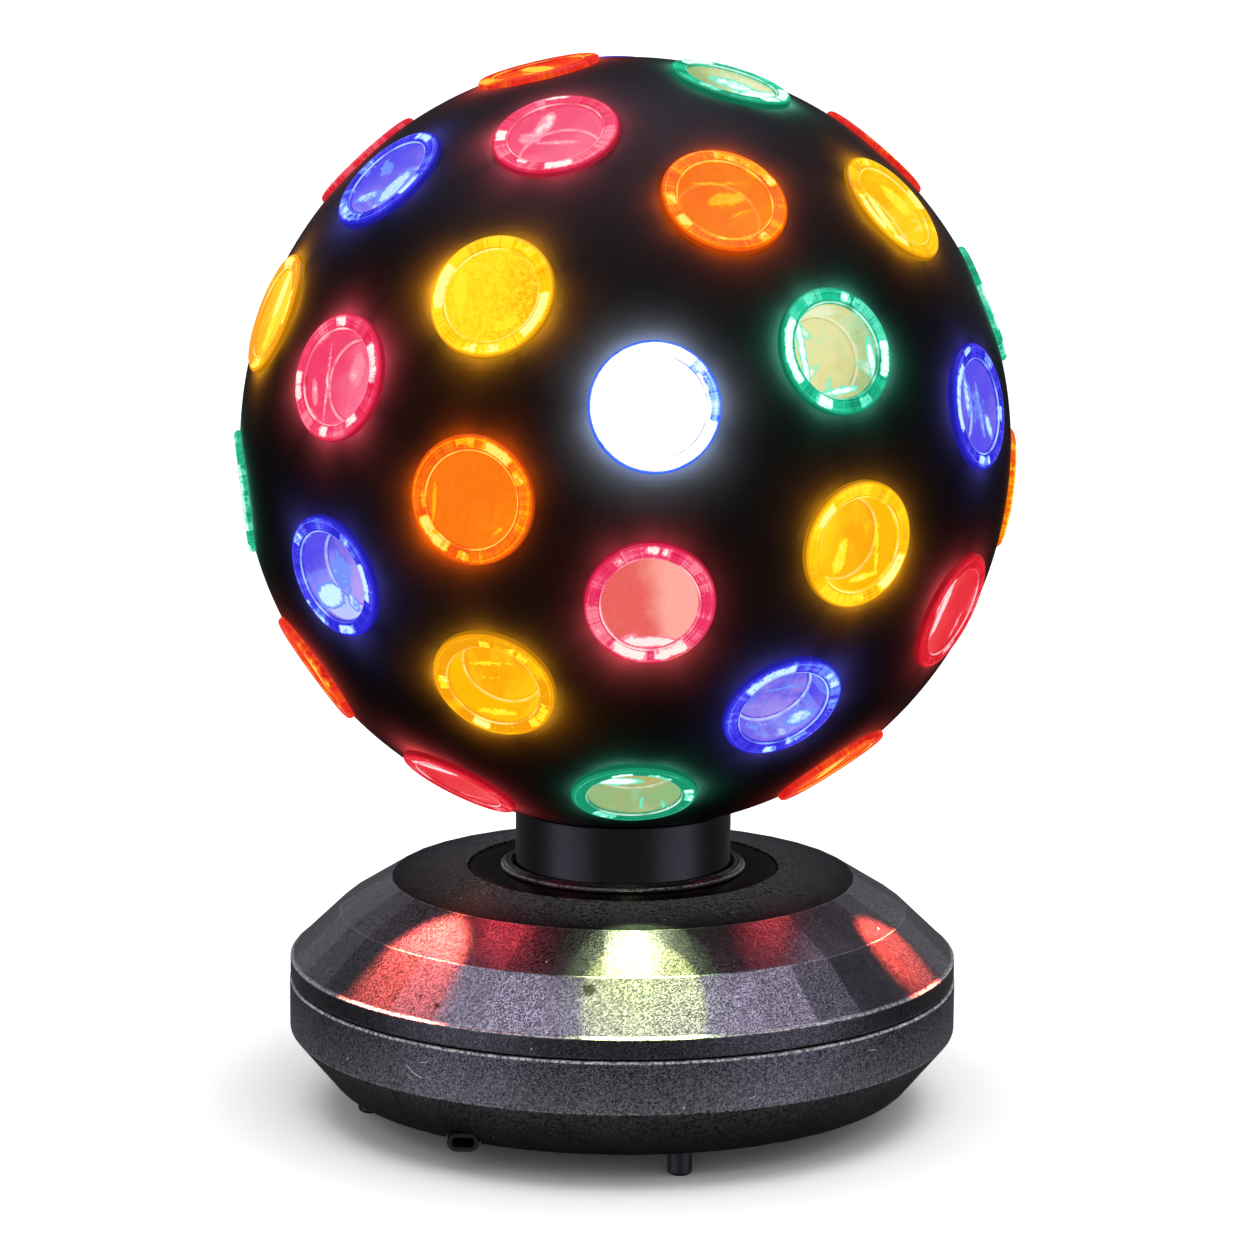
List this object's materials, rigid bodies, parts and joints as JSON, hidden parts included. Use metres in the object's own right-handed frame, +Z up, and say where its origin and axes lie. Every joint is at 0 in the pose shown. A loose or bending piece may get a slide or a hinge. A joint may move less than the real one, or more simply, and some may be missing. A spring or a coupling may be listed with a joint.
{
  "type": "disco ball lamp",
  "caption": "Table lamp with a hollow black ball of round coloured lenses that turns on a low faceted base, lit from inside by fixed diodes.",
  "frame": {"origin": "on the ground under the ball's turning axis, level with the bottoms of the feet", "axes": "+Z up along the axis that the ball turns about; -Y is the side the picture was taken from; +X to its right"},
  "size_m": [0.2032, 0.2028, 0.2772],
  "materials": {
    "lens_red": "clear tinted plastic, polished",
    "lens_orange": "clear tinted plastic, polished",
    "lens_yellow": "clear tinted plastic, polished",
    "lens_green": "clear tinted plastic, polished",
    "lens_blue": "clear tinted plastic, polished",
    "ball_plastic": "satin black",
    "grained_plastic": "dark grey with a fine moulded grain",
    "satin_plastic": "satin black",
    "bearing_plastic": "natural white, self-lubricating",
    "foot_rubber": "matt black",
    "zinc_steel": "zinc plated",
    "post_steel": "drawn tube",
    "heat_sink": "plain aluminium",
    "circuit_board": "green solder mask",
    "led": "clear dome over white light"
  },
  "bodies": {
    "base": {"base_lower_shell": "grained_plastic", "base_screw_1": "zinc_steel", "base_screw_2": "zinc_steel", "base_screw_3": "zinc_steel", "base_upper_shell": "grained_plastic", "bearing_bush": "bearing_plastic", "collar_ring": "grained_plastic", "cord_grommet": "foot_rubber", "driver_board": "circuit_board", "foot_1": "foot_rubber", "foot_2": "foot_rubber", "foot_3": "foot_rubber", "foot_4": "foot_rubber", "gear_motor": "zinc_steel", "lamp_post": "post_steel", "led_1": "led", "led_2": "led", "led_3": "led", "light_head": "heat_sink", "motor_screw_1": "zinc_steel", "motor_screw_2": "zinc_steel", "top_plate": "satin_plastic"},
    "ball": {"ball_shell": "ball_plastic", "lens_01_red": "lens_red", "lens_02_green": "lens_green", "lens_03_red": "lens_red", "lens_04_red": "lens_red", "lens_05_blue": "lens_blue", "lens_06_yellow": "lens_yellow", "lens_07_red": "lens_red", "lens_08_orange": "lens_orange", "lens_09_yellow": "lens_yellow", "lens_10_green": "lens_green", "lens_11_yellow": "lens_yellow", "lens_12_green": "lens_green", "lens_13_red": "lens_red", "lens_14_blue": "lens_blue", "lens_15_blue": "lens_blue", "lens_16_orange": "lens_orange", "lens_17_green": "lens_green", "lens_18_orange": "lens_orange", "lens_19_yellow": "lens_yellow", "lens_20_blue": "lens_blue", "lens_21_red": "lens_red", "lens_22_red": "lens_red", "lens_23_yellow": "lens_yellow", "lens_24_blue": "lens_blue", "lens_25_red": "lens_red", "lens_26_red": "lens_red", "lens_27_red": "lens_red", "lens_28_green": "lens_green", "lens_column_1": "lens_green", "lens_column_2": "lens_red", "lens_column_3": "lens_yellow", "lens_column_4": "lens_blue", "lens_column_5": "lens_orange", "lock_ring": "satin_plastic", "neck_hub": "satin_plastic", "ring_gear": "bearing_plastic"},
    "pinion": {"pinion": "bearing_plastic"}
  },
  "joints": [
    {"name": "ball_spin", "type": "hinge", "parent": "base", "child": "ball", "pos_m": [0, 0, 0.1757], "axis": [0, 0, 1], "continuous": true},
    {"name": "pinion_spin", "type": "hinge", "parent": "base", "child": "pinion", "pos_m": [0.02418, 0.03795, 0.0295], "axis": [0, 0, 1], "continuous": true}
  ],
  "couplings": [
    {"joint": "pinion_spin", "follows": "ball_spin", "ratio": -4}
  ]
}
